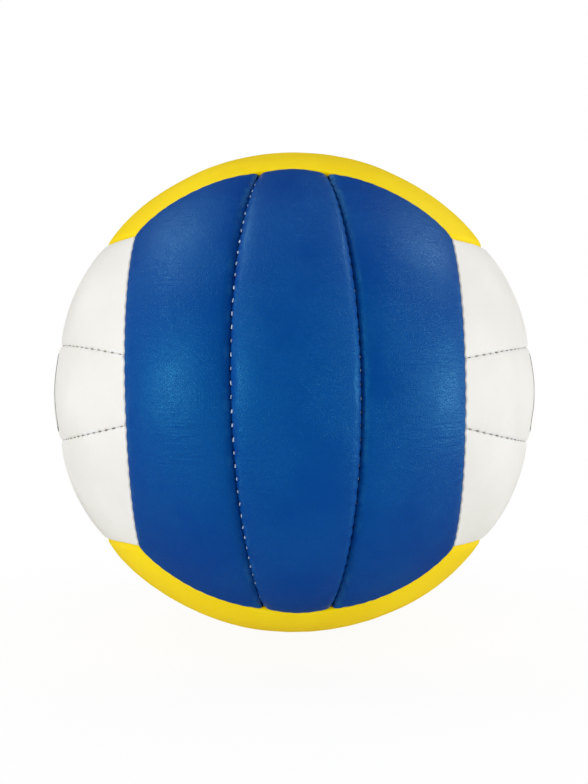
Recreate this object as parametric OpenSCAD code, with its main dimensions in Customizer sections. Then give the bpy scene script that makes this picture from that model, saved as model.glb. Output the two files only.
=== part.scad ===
/* [Ball] */
// outside diameter of the pumped-up ball
ball_d = 212; // [200:1:220]
// half of the angle that a middle strip spans, seen from the ball's centre
strip_half_angle = 12; // [10:0.5:15]

/* [Panel layers] */
// thickness of the outer leather of every panel
cover_t = 1; // [0.8:0.1:1.2]
// thickness of the leather's turned-in rim, where it is folded over for the thread
rim_t = 1.6; // [1.5:0.1:2]
// thickness of the foam pad under the leather
foam_t = 3; // [2.4:0.1:4]
// thickness of the cloth glued under the foam
cloth_t = 0.5; // [0.3:0.1:0.8]

/* [Seams] */
// width of the slit between two neighbouring panels, filled by the thread
seam_gap = 0.8; // [0.6:0.1:1]
// radius of the round valley along every seam
valley_r = 1.7; // [1.4:0.1:1.9]
// how far the middle of that round lies above the ball's surface
valley_lift = 0.3; // [0.1:0.1:0.5]
// how far the thread lies under the foot of the valley
thread_sink = 0.6; // [0.4:0.1:0.9]
// how much of a run of thread is left free at each end, as an angle
thread_end_angle = 1.4; // [1:0.1:3]

/* [Bladder] */
// thickness of the rubber bladder
bladder_t = 0.8; // [0.6:0.1:1.2]

/* [Valve] */
// outside diameter of the rubber stem that holds the valve
stem_d = 10; // [8:0.5:12]
// gap between the stem and the hole in the panel around it
stem_clearance = 0.2; // [0.1:0.05:0.4]
// length of the stem below the bladder's inner face
stem_tail = 12; // [9:0.5:16]
// diameter of the stem's flange inside the bladder
flange_d = 26; // [22:1:32]
// thickness of the stem's flange
flange_t = 1.6; // [1.2:0.1:2.4]
// diameter of the patch that backs the bladder around the stem
patch_d = 44; // [38:1:54]
// thickness of the patch
patch_t = 0.7; // [0.5:0.1:1]
// diameter of the soft plug inside the stem
plug_d = 6; // [5:0.25:7]
// diameter of the bead that locks the plug in the stem
bead_d = 7.6; // [7.25:0.05:7.75]
// length of the bead along the plug
bead_l = 3; // [2:0.5:4]
// how far the stem's mouth lies under the ball's surface
mouth_recess = 0.4; // [0.3:0.1:0.8]
// depth of the funnel that guides the needle into the plug
funnel_depth = 1; // [0.6:0.1:1.6]
// diameter of the funnel at its mouth
funnel_d = 4; // [3:0.25:4.5]
// diameter of the inflating needle
needle_d = 2; // [1.8:0.1:2.2]
// gap all round the needle in its channel
needle_clearance = 0.05; // [0.02:0.01:0.08]

/* [Hidden] */
$fn = 96;
// finer count for the shallow domes of the valve's parts
dome_fn = 720;
ball_r = ball_d / 2;
foam_r = ball_r - cover_t;
cloth_r = foam_r - foam_t;
bladder_r = cloth_r - cloth_t;
patch_r = bladder_r - bladder_t;
flange_r = patch_r - patch_t;
half_gap = seam_gap / 2;
// half-angle of the cone from the ball's centre through the rim of a face
rim_angle = acos(1 / sqrt(3));
// a size that is safely outside the ball
far = 2 * ball_r;
valley_depth = valley_r - valley_lift;
// height of the flat under the stem's flange
flange_bottom = sqrt(flange_r * flange_r - flange_d * flange_d / 4) - flange_t;
plug_top = ball_r - mouth_recess;
plug_bottom = patch_r - stem_tail;
bead_top = (plug_top + plug_bottom + bead_l) / 2;
channel_r = needle_d / 2 + needle_clearance;
// how far a seam runs from the middle of a strip, as an angle
seam_reach = acos(cos(rim_angle) / cos(strip_half_angle)) - thread_end_angle;

blue = [0.01, 0.27, 0.57];
white = [0.94, 0.94, 0.92];
yellow = [0.95, 0.82, 0.02];
foam_colour = [0.85, 0.84, 0.80];
cloth_colour = [0.72, 0.70, 0.66];

// a cone about +Z from the ball's centre through the rim of a face, moved along by its shift
module rim_cone(shift) {
    translate([0, 0, shift / sin(rim_angle)])
        rotate_extrude()
            polygon([[0, 0], far * [sin(rim_angle), cos(rim_angle)], [0, far * cos(rim_angle)]]);
}

// all that lies to the right of the seam plane at an angle, kept one shift clear of it
module right_of(angle, shift) {
    rotate([0, 0, angle])
        translate([shift, -far, -far])
            cube([far, 2 * far, 2 * far]);
}

module left_of(angle, shift) {
    rotate([0, 0, angle])
        translate([-far - shift, -far, -far])
            cube([far, 2 * far, 2 * far]);
}

// round cutter for the valley along one circle on the ball, its axis on Z
module valley_ring(angle) {
    rotate_extrude()
        translate((ball_r + valley_lift) * [sin(angle), cos(angle)])
            circle(valley_r);
}

// the wedge that the left strip of the front face fills out to a radius, or else the middle strip
module strip_block(is_middle, radius, shift) {
    difference() {
        intersection() {
            sphere(radius);
            rotate([90, 0, 0])
                rim_cone(shift);
            if (is_middle)
                right_of(-strip_half_angle, shift);
            left_of(is_middle ? strip_half_angle : -strip_half_angle, shift);
        }
        if (!is_middle)
            rotate([0, -90, 0])
                rim_cone(-shift);
    }
}

// the leather of one strip: a shallow tray with its rim turned in all round
module strip_leather(is_middle) {
    difference() {
        strip_block(is_middle, ball_r, half_gap);
        strip_block(is_middle, foam_r, half_gap + rim_t);
        sphere(bladder_r);
        rotate([90, 0, 0])
            valley_ring(rim_angle);
        if (!is_middle)
            rotate([0, -90, 0])
                valley_ring(rim_angle);
        if (is_middle)
            rotate([0, 90, strip_half_angle])
                valley_ring(90);
        rotate([0, 90, -strip_half_angle])
            valley_ring(90);
    }
}

// one layer of padding between two radii, inside the leather's rim
module strip_padding(is_middle, outer, inner) {
    difference() {
        strip_block(is_middle, outer, half_gap + rim_t);
        sphere(inner);
    }
}

// side -1 is the left strip of the front face, 0 the middle one and 1 the right one
module strip_cover(side) {
    mirror([side > 0 ? 1 : 0, 0, 0])
        strip_leather(side == 0);
}

module strip_foam(side) {
    mirror([side > 0 ? 1 : 0, 0, 0])
        strip_padding(side == 0, foam_r, cloth_r);
}

module strip_cloth(side) {
    mirror([side > 0 ? 1 : 0, 0, 0])
        strip_padding(side == 0, cloth_r, bladder_r);
}

// the front face turned onto the other faces; the strips run up, then front to back, then sideways
module on_back() {
    rotate([0, 0, 180])
        children();
}

module on_left() {
    rotate(a = -120, v = [1, 1, 1])
        children();
}

module on_right() {
    rotate(a = -120, v = [1, 1, 1])
        on_back()
            children();
}

module on_bottom() {
    rotate(a = 120, v = [1, 1, 1])
        children();
}

module on_top() {
    rotate(a = 120, v = [1, 1, 1])
        on_back()
            children();
}

// the hole that the valve stem passes through
module stem_hole(clearance) {
    cylinder(h = far, d = stem_d + 2 * clearance);
}

module front_left_cover() {
    color(blue)
        strip_cover(-1);
}

module front_middle_cover() {
    color(blue)
        strip_cover(0);
}

module front_right_cover() {
    color(blue)
        strip_cover(1);
}

module back_left_cover() {
    color(blue)
        on_back()
            strip_cover(-1);
}

module back_middle_cover() {
    color(blue)
        on_back()
            strip_cover(0);
}

module back_right_cover() {
    color(blue)
        on_back()
            strip_cover(1);
}

module left_upper_cover() {
    color(white)
        on_left()
            strip_cover(1);
}

module left_middle_cover() {
    color(white)
        on_left()
            strip_cover(0);
}

module left_lower_cover() {
    color(white)
        on_left()
            strip_cover(-1);
}

module right_upper_cover() {
    color(white)
        on_right()
            strip_cover(-1);
}

module right_middle_cover() {
    color(white)
        on_right()
            strip_cover(0);
}

module right_lower_cover() {
    color(white)
        on_right()
            strip_cover(1);
}

module top_front_cover() {
    color(yellow)
        on_top()
            strip_cover(1);
}

module top_middle_cover() {
    color(yellow)
        difference() {
            on_top()
                strip_cover(0);
            stem_hole(stem_clearance);
        }
}

module top_back_cover() {
    color(yellow)
        on_top()
            strip_cover(-1);
}

module bottom_front_cover() {
    color(yellow)
        on_bottom()
            strip_cover(-1);
}

module bottom_middle_cover() {
    color(yellow)
        on_bottom()
            strip_cover(0);
}

module bottom_back_cover() {
    color(yellow)
        on_bottom()
            strip_cover(1);
}

module front_left_foam() {
    color(foam_colour)
        strip_foam(-1);
}

module front_middle_foam() {
    color(foam_colour)
        strip_foam(0);
}

module front_right_foam() {
    color(foam_colour)
        strip_foam(1);
}

module back_left_foam() {
    color(foam_colour)
        on_back()
            strip_foam(-1);
}

module back_middle_foam() {
    color(foam_colour)
        on_back()
            strip_foam(0);
}

module back_right_foam() {
    color(foam_colour)
        on_back()
            strip_foam(1);
}

module left_upper_foam() {
    color(foam_colour)
        on_left()
            strip_foam(1);
}

module left_middle_foam() {
    color(foam_colour)
        on_left()
            strip_foam(0);
}

module left_lower_foam() {
    color(foam_colour)
        on_left()
            strip_foam(-1);
}

module right_upper_foam() {
    color(foam_colour)
        on_right()
            strip_foam(-1);
}

module right_middle_foam() {
    color(foam_colour)
        on_right()
            strip_foam(0);
}

module right_lower_foam() {
    color(foam_colour)
        on_right()
            strip_foam(1);
}

module top_front_foam() {
    color(foam_colour)
        on_top()
            strip_foam(1);
}

module top_middle_foam() {
    color(foam_colour)
        difference() {
            on_top()
                strip_foam(0);
            stem_hole(stem_clearance);
        }
}

module top_back_foam() {
    color(foam_colour)
        on_top()
            strip_foam(-1);
}

module bottom_front_foam() {
    color(foam_colour)
        on_bottom()
            strip_foam(-1);
}

module bottom_middle_foam() {
    color(foam_colour)
        on_bottom()
            strip_foam(0);
}

module bottom_back_foam() {
    color(foam_colour)
        on_bottom()
            strip_foam(1);
}

module front_left_cloth() {
    color(cloth_colour)
        strip_cloth(-1);
}

module front_middle_cloth() {
    color(cloth_colour)
        strip_cloth(0);
}

module front_right_cloth() {
    color(cloth_colour)
        strip_cloth(1);
}

module back_left_cloth() {
    color(cloth_colour)
        on_back()
            strip_cloth(-1);
}

module back_middle_cloth() {
    color(cloth_colour)
        on_back()
            strip_cloth(0);
}

module back_right_cloth() {
    color(cloth_colour)
        on_back()
            strip_cloth(1);
}

module left_upper_cloth() {
    color(cloth_colour)
        on_left()
            strip_cloth(1);
}

module left_middle_cloth() {
    color(cloth_colour)
        on_left()
            strip_cloth(0);
}

module left_lower_cloth() {
    color(cloth_colour)
        on_left()
            strip_cloth(-1);
}

module right_upper_cloth() {
    color(cloth_colour)
        on_right()
            strip_cloth(-1);
}

module right_middle_cloth() {
    color(cloth_colour)
        on_right()
            strip_cloth(0);
}

module right_lower_cloth() {
    color(cloth_colour)
        on_right()
            strip_cloth(1);
}

module top_front_cloth() {
    color(cloth_colour)
        on_top()
            strip_cloth(1);
}

module top_middle_cloth() {
    color(cloth_colour)
        difference() {
            on_top()
                strip_cloth(0);
            stem_hole(stem_clearance);
        }
}

module top_back_cloth() {
    color(cloth_colour)
        on_top()
            strip_cloth(-1);
}

module bottom_front_cloth() {
    color(cloth_colour)
        on_bottom()
            strip_cloth(-1);
}

module bottom_middle_cloth() {
    color(cloth_colour)
        on_bottom()
            strip_cloth(0);
}

module bottom_back_cloth() {
    color(cloth_colour)
        on_bottom()
            strip_cloth(1);
}

// a rubber balloon just inside the cloth
module bladder() {
    color([0.16, 0.15, 0.15])
        difference() {
            sphere(bladder_r);
            sphere(patch_r);
            stem_hole(0);
        }
}

// a round of thicker rubber inside the bladder, around the stem
module valve_patch() {
    color([0.24, 0.22, 0.21])
        rotate_extrude()
            intersection() {
                difference() {
                    circle(patch_r, $fn = dome_fn);
                    circle(flange_r, $fn = dome_fn);
                }
                translate([stem_d / 2, 0])
                    square([(patch_d - stem_d) / 2, far]);
            }
}

// the stem with its flange, hollow for the plug and grooved for the bead
module valve_stem() {
    color([0.12, 0.12, 0.12])
        rotate_extrude()
            difference() {
                union() {
                    intersection() {
                        circle(flange_r, $fn = dome_fn);
                        translate([0, flange_bottom])
                            square([flange_d / 2, far]);
                    }
                    translate([0, plug_bottom])
                        square([stem_d / 2, plug_top - plug_bottom]);
                }
                translate([0, plug_bottom - bead_l])
                    square([plug_d / 2, far]);
                translate([0, bead_top - bead_l])
                    square([bead_d / 2, bead_l]);
            }
}

// the soft plug that closes behind the needle
module valve_plug() {
    color([0.30, 0.29, 0.28])
        rotate_extrude()
            polygon([
                [channel_r, plug_bottom],
                [plug_d / 2, plug_bottom],
                [plug_d / 2, bead_top - bead_l],
                [bead_d / 2, bead_top - bead_l],
                [bead_d / 2, bead_top],
                [plug_d / 2, bead_top],
                [plug_d / 2, plug_top],
                [funnel_d / 2, plug_top],
                [channel_r, plug_top - funnel_depth]
            ]);
}

// one run of thread: an arc with a six-sided section whose flats bear on both panels
module thread_run(angle, span) {
    middle = ball_r - valley_depth - thread_sink;
    rotate([0, 0, -span / 2])
        rotate_extrude(angle = span)
            translate(middle * [sin(angle), cos(angle)])
                rotate(-angle)
                    circle(r = half_gap / cos(30), $fn = 6);
}

// the runs of one face: its two rims and its two seams
module face_threads() {
    for (turn = [90, -90])
        rotate([90, 0, 0])
            rotate([0, 0, turn])
                thread_run(rim_angle, 90 - 2 * thread_end_angle);
    for (side = [-1, 1])
        rotate([0, 90, side * strip_half_angle])
            rotate([0, 0, -90])
                thread_run(90, 2 * seam_reach);
}

// all the sewing thread of the ball
module thread() {
    color([0.80, 0.81, 0.82]) {
        face_threads();
        on_back()
            face_threads();
        on_left()
            face_threads();
        on_right()
            face_threads();
        on_bottom()
            face_threads();
        on_top()
            face_threads();
    }
}

front_left_cover();
front_middle_cover();
front_right_cover();
back_left_cover();
back_middle_cover();
back_right_cover();
left_upper_cover();
left_middle_cover();
left_lower_cover();
right_upper_cover();
right_middle_cover();
right_lower_cover();
top_front_cover();
top_middle_cover();
top_back_cover();
bottom_front_cover();
bottom_middle_cover();
bottom_back_cover();
front_left_foam();
front_middle_foam();
front_right_foam();
back_left_foam();
back_middle_foam();
back_right_foam();
left_upper_foam();
left_middle_foam();
left_lower_foam();
right_upper_foam();
right_middle_foam();
right_lower_foam();
top_front_foam();
top_middle_foam();
top_back_foam();
bottom_front_foam();
bottom_middle_foam();
bottom_back_foam();
front_left_cloth();
front_middle_cloth();
front_right_cloth();
back_left_cloth();
back_middle_cloth();
back_right_cloth();
left_upper_cloth();
left_middle_cloth();
left_lower_cloth();
right_upper_cloth();
right_middle_cloth();
right_lower_cloth();
top_front_cloth();
top_middle_cloth();
top_back_cloth();
bottom_front_cloth();
bottom_middle_cloth();
bottom_back_cloth();
thread();
bladder();
valve_patch();
valve_stem();
valve_plug();
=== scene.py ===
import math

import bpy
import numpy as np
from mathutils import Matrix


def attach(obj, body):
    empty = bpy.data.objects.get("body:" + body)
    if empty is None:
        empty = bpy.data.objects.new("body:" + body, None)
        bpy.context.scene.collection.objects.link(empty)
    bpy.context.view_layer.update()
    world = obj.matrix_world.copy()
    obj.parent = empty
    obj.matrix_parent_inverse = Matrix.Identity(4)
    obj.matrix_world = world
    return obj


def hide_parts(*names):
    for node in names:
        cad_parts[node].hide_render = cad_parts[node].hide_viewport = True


# %% [markdown]
# # A sewn volleyball
#
# The real ball is a rubber bladder with eighteen padded leather strips sewn round it. Six faces
# of three strips each turn about one another: blue at the front and back, white at the sides and
# yellow at the top and bottom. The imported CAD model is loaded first. It is the fixed frame: every
# new surface is laid out in its metres and its axes, and its box tells how large the ball is.

# %% Load the frame
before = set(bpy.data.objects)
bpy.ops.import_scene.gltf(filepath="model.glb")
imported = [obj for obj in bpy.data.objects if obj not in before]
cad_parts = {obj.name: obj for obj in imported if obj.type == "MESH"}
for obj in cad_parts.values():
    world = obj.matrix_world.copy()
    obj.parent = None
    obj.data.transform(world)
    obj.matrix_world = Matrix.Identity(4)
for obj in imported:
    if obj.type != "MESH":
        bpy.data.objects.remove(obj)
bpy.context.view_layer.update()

print("CAD nodes:", len(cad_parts))

# %% [markdown]
# ## The layout of the seams
#
# A cube with a corner direction (1, 1, 1) gives the layout. The rim of every face is a circle on
# the ball that passes through the cube's corners, 54.7 degrees from the face's middle. The two
# seams inside a face are great circles, 12 degrees to either side of the middle. All lengths here
# are in millimetres, because seams and stitches are easier to judge in them. Points turn into
# metres at the very end.

# %% Sizes
MM = 0.001                                # a millimetre in metres
BALL_R = 106.0                            # radius of the ball
RIM = math.acos(1 / math.sqrt(3))         # angle from a face's middle to its rim
SEAM = math.radians(12)                   # angle from a face's middle to its seams
SLIT = 0.03 / BALL_R                      # angle that a strip keeps back from its seam lines
STITCH = 4.95                             # length from one stitch to the next
HOLE_R = 5.2                              # radius of the hole for the valve in the leather
PAD_HOLE_R = HOLE_R + 0.9                 # and in the foam
SEAM_REACH = BALL_R * math.acos(math.cos(RIM) / math.cos(SEAM))    # half the length of a seam
RIM_REACH = BALL_R * math.sin(RIM) * math.pi / 4                   # half the length of a rim
print("seam length: %.0f mm, rim length: %.0f mm" % (2 * SEAM_REACH, 2 * RIM_REACH))

# %% [markdown]
# ## Turning the front face onto the other five
#
# Every strip is worked out once, on the front face, where it runs up along Z. The other faces are
# the same points with their coordinates swapped, which turns the face without any rounding.

# %% Turns
def turn(points, face):
    """Points of the front face turned onto a face: back is half a turn about Z, left and bottom
    are a third of a turn about the corner direction, right and top are both."""
    x, y, z = points[..., 0], points[..., 1], points[..., 2]
    if face in ("back", "right", "top"):
        x, y = -x, -y
    if face in ("left", "right"):
        x, y, z = y, z, x
    if face in ("bottom", "top"):
        x, y, z = z, x, y
    return np.stack([x, y, z], axis=-1)


STRIPS = {
    "front": ("left", "middle", "right"), "back": ("left", "middle", "right"),
    "left": ("lower", "middle", "upper"), "right": ("upper", "middle", "lower"),
    "bottom": ("front", "middle", "back"), "top": ("back", "middle", "front"),
}
LEATHER = {"front": "blue", "back": "blue", "left": "white", "right": "white",
           "top": "yellow", "bottom": "yellow"}
VALVE_STRIP = ("top", "middle")
# Each strip's face, its part, its side of the face (-1, 0 or 1) and a seed of its own.
PIECES = [(face, part, s - 1, 10 * (3 * f + s) + 1)
          for f, face in enumerate(STRIPS) for s, part in enumerate(STRIPS[face])]
print("strips:", len(PIECES))

# %% [markdown]
# ## A cover that sits a little skew
#
# Hand-sewn strips never meet exactly where the drawing puts them. On this ball the seams run up
# to five millimetres beside their ideal circles, all in one slow twist, so one smooth shift of
# the whole cover gives it. Strips and stitches go through the same shift and still meet. It fades
# out round the valve, which stays where it is.

# %% The skew
STILL, FADE_IN = 16, 30                   # the push starts this far from the valve, and grows over the next


def skew(points):
    """Points pushed sideways over the ball. For the direction (x, y, z) of a point, the push in
    millimetres is (-5.2 xy + 1.8 yz - 0.65 y - 7.4 x^3 + 5.8 xz^2, -4.5 xz - 3.2 yz,
    1.2 xy - 0.7 y - 0.9 x^2 - 2.65 x^2 z + 67 x^4 z^3 - 13.4 x^6 z). Its radius stays."""
    radius = np.linalg.norm(points, axis=-1, keepdims=True)
    way = points / radius
    x, y, z = way[..., 0], way[..., 1], way[..., 2]
    push = np.stack([-5.2 * x * y + 1.8 * y * z - 0.65 * y - 7.4 * x ** 3 + 5.8 * x * z * z,
                     -4.5 * x * z - 3.2 * y * z,
                     1.2 * x * y - 0.7 * y - 0.9 * x * x - 2.65 * x * x * z
                     + 67 * x ** 4 * z ** 3 - 13.4 * x ** 6 * z], -1)
    fade = np.clip((BALL_R * np.arccos(np.clip(z, -1, 1)) - STILL) / FADE_IN, 0, 1)
    fade = fade * fade * (3 - 2 * fade)
    way = way + push * fade[..., None] / BALL_R
    return way / np.linalg.norm(way, axis=-1, keepdims=True) * radius


print("push at the front: %.1f mm" % (BALL_R * np.linalg.norm(
    skew(np.array([[0.0, -1.0, 0.0]])) - [[0.0, -1.0, 0.0]])))

# %% [markdown]
# ## One strip as a function of two parameters
#
# The parameter u runs along the strip and v across it. Both are spaced closely near the edges,
# where the leather rolls down into the seam, and evenly in between. An outer strip is not a
# rectangle: one long side follows the seam and the other follows the round rim, so the lines in
# between are blended from one to the other.

# %% Spacing of the grid
EDGE_STEPS = np.array([0, 0.1, 0.22, 0.38, 0.6, 0.9, 1.25, 1.7, 2.2, 2.8, 3.5, 4.3])
STRIP_LONG, STRIP_WIDE = 199.0, 44.0


def spaced(length, step):
    """Places from 0 to 1 along a length: close at both ends, one step apart in between."""
    count = max(2, int(round((length - 2 * EDGE_STEPS[-1]) / step)))
    inner = np.linspace(EDGE_STEPS[-1], length - EDGE_STEPS[-1], count + 1)
    places = np.concatenate([EDGE_STEPS[:-1], inner, length - EDGE_STEPS[-2::-1]])
    return places / length


ALONG = spaced(STRIP_LONG, 0.68) * 2 - 1
ACROSS = spaced(STRIP_WIDE, 0.85)
print("grid of a strip: %d x %d" % (len(ALONG), len(ACROSS)))

# %% The strip on the unit sphere
def strip_points(middle, along, across, inset=0.0):
    """Unit vectors of a strip on a grid, its edges drawn in by an inset in millimetres. With
    latitude lam and longitude phi from the front, p = (cos lam sin phi, -cos lam cos phi,
    sin lam). The ends lie where cos lam cos phi is cos RIM, and the outer side where
    cos lam sin phi is cos RIM."""
    u, v = np.meshgrid(along, across, indexing="ij")
    back = SLIT + inset / BALL_R
    end = math.cos(RIM - back)
    if middle:
        phi = (2 * v - 1) * (SEAM - back)
        lam = u * np.arccos(end / np.cos(phi))
    else:
        out = math.cos(RIM + back)
        corner_lam = math.asin(math.sqrt(1 - end * end - out * out))
        corner_phi = math.atan2(out, end)
        inner_phi = SEAM + back
        outer_phi = np.arcsin(out / np.cos(u * corner_lam))
        lam = u * np.arccos(end / np.cos(inner_phi + v * (corner_phi - inner_phi)))
        phi = inner_phi + v * (outer_phi - inner_phi)
    return np.stack([np.cos(lam) * np.sin(phi), -np.cos(lam) * np.cos(phi), np.sin(lam)], axis=-1)


middle_grid = strip_points(True, ALONG, ACROSS)
print("half length of the middle strip: %.1f mm" % (BALL_R * np.arcsin(middle_grid[..., 2]).max()))

# %% Distances to the edges
def edge_distances(p, middle):
    """In millimetres over the surface: from each point to the strip's first long side, its second
    long side and its nearer end, then the place along the sides and the place along the ends. A
    seam's distance is the arcsine of the point times the seam's normal, and a rim's distance is
    the angle from its face's middle less RIM."""
    x, y, z = p[..., 0], p[..., 1], p[..., 2]
    end = BALL_R * (RIM - SLIT - np.arccos(np.clip(-y, -1, 1)))
    if middle:
        c, s = math.cos(SEAM - SLIT), math.sin(SEAM - SLIT)
        first = BALL_R * np.arcsin(np.clip(x * c - y * s, -1, 1))
        second = BALL_R * np.arcsin(np.clip(-x * c - y * s, -1, 1))
        run = BALL_R * np.arcsin(z)
    else:
        c, s = math.cos(SEAM + SLIT), math.sin(SEAM + SLIT)
        first = BALL_R * np.arcsin(np.clip(x * c + y * s, -1, 1))
        second = BALL_R * (np.arccos(x) - RIM - SLIT)
        share = first / np.maximum(first + second, 0.001)
        run = ((1 - share) * BALL_R * np.arcsin(z)
               + share * BALL_R * math.sin(RIM) * np.arctan2(z, -y))
    cross = BALL_R * math.sin(RIM) * np.arctan2(x, np.abs(z) + 1e-6)
    return first, second, end, run, cross


print("width of a middle strip: %.1f mm" % edge_distances(middle_grid, True)[0].max())

# %% [markdown]
# ## How the leather bulges
#
# Over its foam the leather stands proud, and beside a seam it leans over and drops into the slit.
# A parabola gives that roll, so that the last millimetres before a slit are its steepest and catch
# the light from the side as a pale streak. On the blue faces the middle strip lies over the edges
# of its neighbours and stands a little higher. The blue strips are the fullest: they rise for a
# centimetre from their seams, and their ends stand as high as the yellow beside them. The white
# ends lie over the edge of the blue with a tight roll. Where three faces meet, the shoulders come
# to nearly one height, so that no gap opens in the corner. Every stitch pulls a small dent into the
# edge, and the pull spreads as short pleats at a right angle to the seam. Slow waves keep the large
# surface from looking machined.

# %% Smooth chance
DENT_LONG = 0.9                           # half the length of a dent along the seam


def evened(total, count):
    """A sum of sines brought to about -1 to 1: total / (1.2 sqrt(count))."""
    return total / math.sqrt(count) / 1.2


def waves(place, seed, lengths, count=5):
    """A smooth random curve: a sum of sines of the place, whose wavelengths lie between two
    lengths."""
    rng = np.random.default_rng(seed)
    total = np.zeros_like(place)
    for _ in range(count):
        total += np.sin(2 * math.pi * place / rng.uniform(*lengths) + rng.uniform(0, 2 * math.pi))
    return evened(total, count)


def waves_on_ball(p, seed, lengths, count=7):
    """The same over the ball's surface: each sine runs in its own direction through space."""
    rng = np.random.default_rng(seed)
    total = np.zeros(p.shape[:-1])
    for _ in range(count):
        way = rng.normal(size=3)
        way /= np.linalg.norm(way)
        total += np.sin(2 * math.pi * BALL_R / rng.uniform(*lengths) * (p @ way)
                        + rng.uniform(0, 2 * math.pi))
    return evened(total, count)


def stitch_pull(place):
    """1 at every stitch and 0 between: exp(-(t / DENT_LONG)^2), t being the distance to the
    nearest stitch."""
    t = (place / STITCH - np.floor(place / STITCH) - 0.5) * STITCH
    return np.exp(-(t / DENT_LONG) ** 2)


print("pull at a stitch: %.2f" % stitch_pull(np.array([STITCH / 2]))[0])

# %% Sizes of the bulge
# Width and depth of the roll and height of the shoulder before it, each for the seams inside a
# face, for a face's outer sides and for the ends of its strips.
ROLL = {"blue": ((3.2, 1.25, -1.5), (0.6, 0.15, -0.5), (1.9, 0.8, -1.1)),
        "white": ((1.3, 0.5, -1.0), (2.0, 0.95, -1.0), (0.45, 0.35, -0.25)),
        "yellow": ((2.4, 1.3, -1.0), (1.4, 0.9, -0.6), (2.4, 1.3, -1.0))}
# Radius of the corners: of a middle strip, of an outer strip at its seam, and at its outer side.
CORNERS = {"blue": (2.5, 0.8, 2.4), "white": (1.6, 1.6, 1.5), "yellow": (1.8, 1.8, 1.5)}
PUFF = {"blue": 1.4, "white": 0.0, "yellow": 0.0}       # extra rise beside the seams
LIFT = {"blue": 0.45, "white": 0.0, "yellow": 0.0}      # middle strip up, outer strips down
# Dents at the stitches: along the seams inside a face, the outer sides and the ends.
DENTS = {"blue": (0.34, 0.08, 0.22), "white": (0.22, 0.30, 0.06), "yellow": (0.25, 0.12, 0.25)}
# How far the line between two faces waves, at a face's outer sides and at its ends.
WAVE = {"blue": (0.42, 0.08), "white": (0.15, 0.42), "yellow": (0.08, 0.15)}
PILLOW, BREAST = 1.0, 0.35                # rise of a strip's middle, and of its edge behind the roll
FILLED = 0.7                              # share of the puff that a strip keeps at the ends of a seam
WALL = 2.6                                # steepness of the leather outside its edge
DENT_SINK = 0.7                           # how deep a dent goes, for its length inwards
# How far in from the edge these reach.
SHOULDER_IN, BREAST_IN, PILLOW_IN, DENT_IN, SINK_IN, WAVE_IN = 6, 3.5, 8, 1.4, 1.3, 2
END_TURN = 3                              # width of the change from a side's roll to an end's
ROLL_VARY = 0.14                          # how much the roll's width varies, as a share
print("roll of the blue leather: %.1f mm wide" % ROLL["blue"][0][0])

# %% Shapes along an edge
def fades(distance, reach):
    """1 at an edge and dying away inwards: exp(-distance / reach)."""
    return np.exp(-np.maximum(distance, 0) / reach)


def rolled(distance, width, depth):
    """Depth of the roll: depth (1 - distance / width)^2 inside the width, and a steep wall outside
    the edge."""
    t = np.clip(1 - distance / width, 0, 1)
    return depth * t * t + WALL * np.maximum(-distance, 0)


def rounded_edge(side, end, radius, lean):
    """Distance to the outline of a strip with rounded corners. lean is the cosine between the
    normals of its two lines: 0 at a square corner and 0.5 where three faces meet. With
    u = side - radius and v = end - radius, the distance to the corner's centre is
    sqrt((u^2 + v^2 - 2 lean u v) / (1 - lean^2))."""
    u, v = side - radius, end - radius
    corner = (u < lean * v) & (v < lean * u)
    away = np.sqrt(np.maximum(u * u + v * v - 2 * lean * u * v, 0) / (1 - lean * lean))
    return np.where(corner, radius - away, np.minimum(side, end))


def pleats(place, inwards, seed, tall, reach):
    """Short waves along an edge: they begin in its first millimetre and die away over the reach."""
    return tall * waves(place, seed, (2.6, 7.5), 8) * fades(inwards, reach) * np.clip(inwards, 0, 1)


def swell(p, edge, seed, tall, lengths, full_at, count=7):
    """Slow waves over the surface, which grow in from the edge up to full_at."""
    return tall * waves_on_ball(p, seed, lengths, count) * np.clip(edge / full_at, 0, 1)


def shoulder(colour, middle, near_out, near_end):
    """Height before the roll: the seams' own shoulder, drawn to the outer side's and the end's by
    how near these are. In a corner each counts for half, which brings the three faces nearly level."""
    inner, outer, end = [roll[2] for roll in ROLL[colour]]
    inner = inner + (LIFT[colour] if middle else -LIFT[colour])
    return (inner + (outer - inner) * near_out * (1 - near_end / 2)
            + (end - inner) * near_end * (1 - near_out / 2))


print("shoulder at a blue corner: %.2f mm" % shoulder("blue", False, 1.0, 1.0))

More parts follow.
